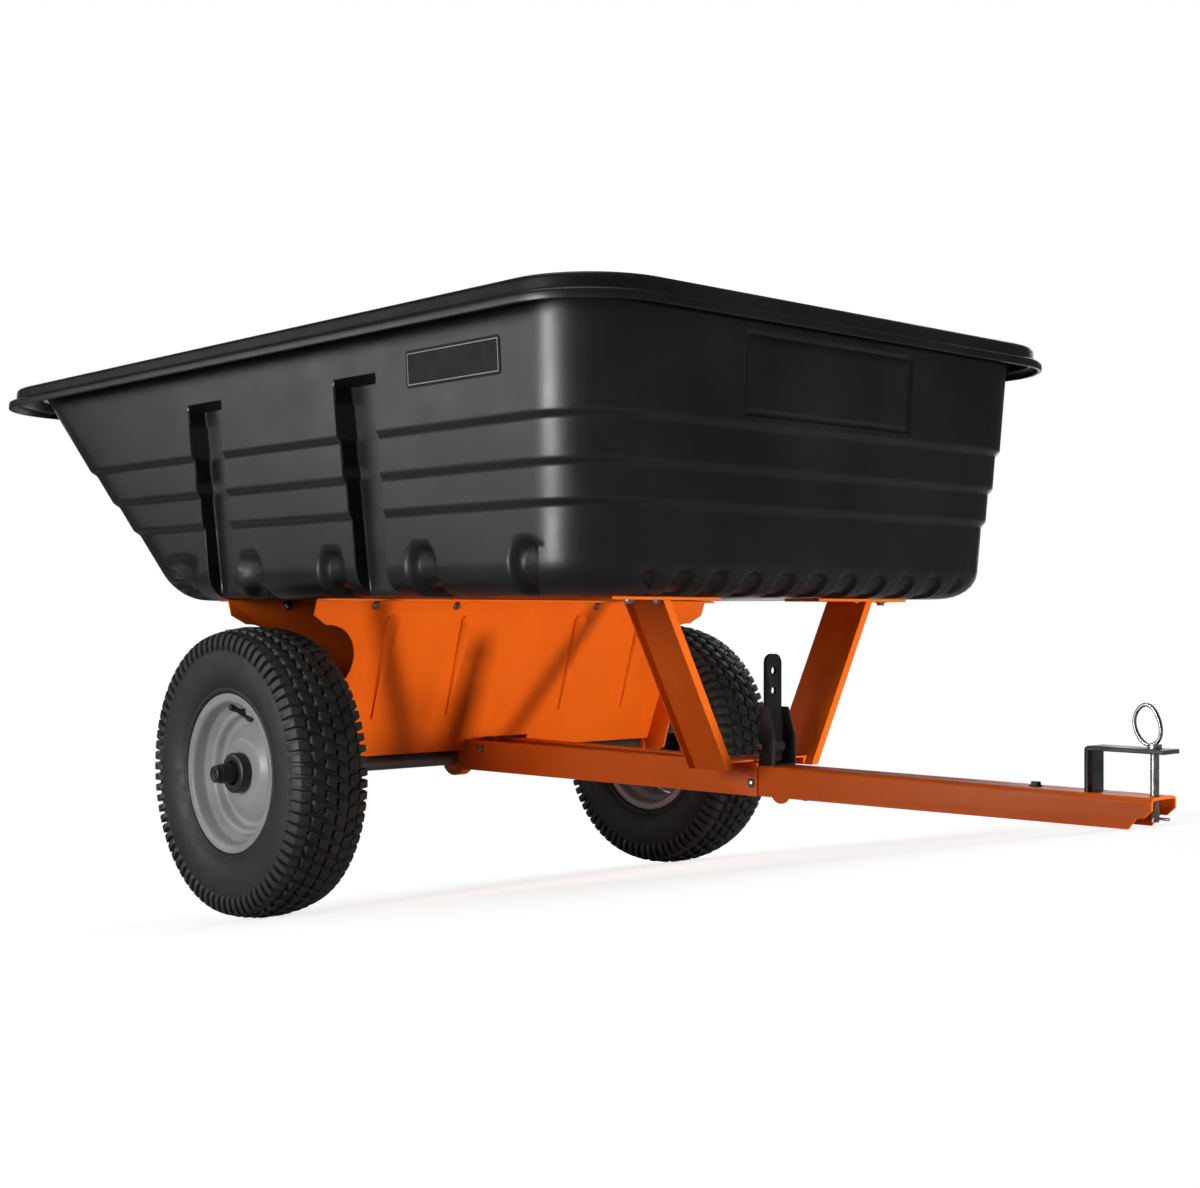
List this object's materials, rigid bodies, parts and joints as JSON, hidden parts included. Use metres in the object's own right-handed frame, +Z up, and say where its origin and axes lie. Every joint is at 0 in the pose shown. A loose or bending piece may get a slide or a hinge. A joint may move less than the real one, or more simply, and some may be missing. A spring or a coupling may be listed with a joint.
{
  "type": "tipping dump trailer",
  "caption": "Garden tow trailer: a moulded tub with a raked rear wall that tips back about the axle, on turf wheels, with a steel tongue and a pin hitch.",
  "frame": {"origin": "on the ground, at the centre of the trailer's footprint", "axes": "+X forward to the hitch, +Y to the trailer's left, +Z up"},
  "size_m": [1.835, 0.947, 0.92],
  "materials": {
    "black_poly": "moulded, slight sheen",
    "orange_paint": "powder coat, satin",
    "rim_paint": "silver-grey paint",
    "tyre_rubber": "turf tread",
    "hub_plastic": "moulded",
    "valve_rubber": "matt",
    "black_paint": "satin",
    "zinc": "zinc plated",
    "bare_steel": "cold drawn",
    "label": "blank film label"
  },
  "bodies": {
    "tongue": {"axle": "bare_steel", "tongue_rail_right": "orange_paint", "tongue_rail_left": "orange_paint", "tongue_front": "orange_paint", "latch_bracket": "black_paint", "latch_pin": "zinc", "latch_lever": "black_paint", "hitch_bracket": "black_paint", "hitch_pin": "zinc", "pin_ring": "zinc", "pin_clip": "zinc"},
    "bed": {"tub": "black_poly", "decal_right": "label", "decal_left": "label", "axle_support_front": "orange_paint", "axle_support_rear": "orange_paint", "brace_right": "orange_paint", "brace_left": "orange_paint", "brace_pad_right": "orange_paint", "brace_pad_left": "orange_paint", "latch_plate": "orange_paint"},
    "wheel_right": {"tyre_right": "tyre_rubber", "wheel_rim_right": "rim_paint", "hub_right": "hub_plastic", "hub_cap_right": "hub_plastic", "valve_right": "valve_rubber"},
    "wheel_left": {"tyre_left": "tyre_rubber", "wheel_rim_left": "rim_paint", "hub_left": "hub_plastic", "hub_cap_left": "hub_plastic", "valve_left": "valve_rubber"}
  },
  "joints": [
    {"name": "bed_tip", "type": "hinge", "parent": "tongue", "child": "bed", "pos_m": [-0.24929, 0, 0.2032], "axis": [0, -1, 0], "range_deg": [0, 45]},
    {"name": "wheel_right_spin", "type": "hinge", "parent": "tongue", "child": "wheel_right", "pos_m": [-0.24929, 0, 0.2032], "axis": [0, 1, 0], "continuous": true},
    {"name": "wheel_left_spin", "type": "hinge", "parent": "tongue", "child": "wheel_left", "pos_m": [-0.24929, 0, 0.2032], "axis": [0, 1, 0], "continuous": true}
  ]
}
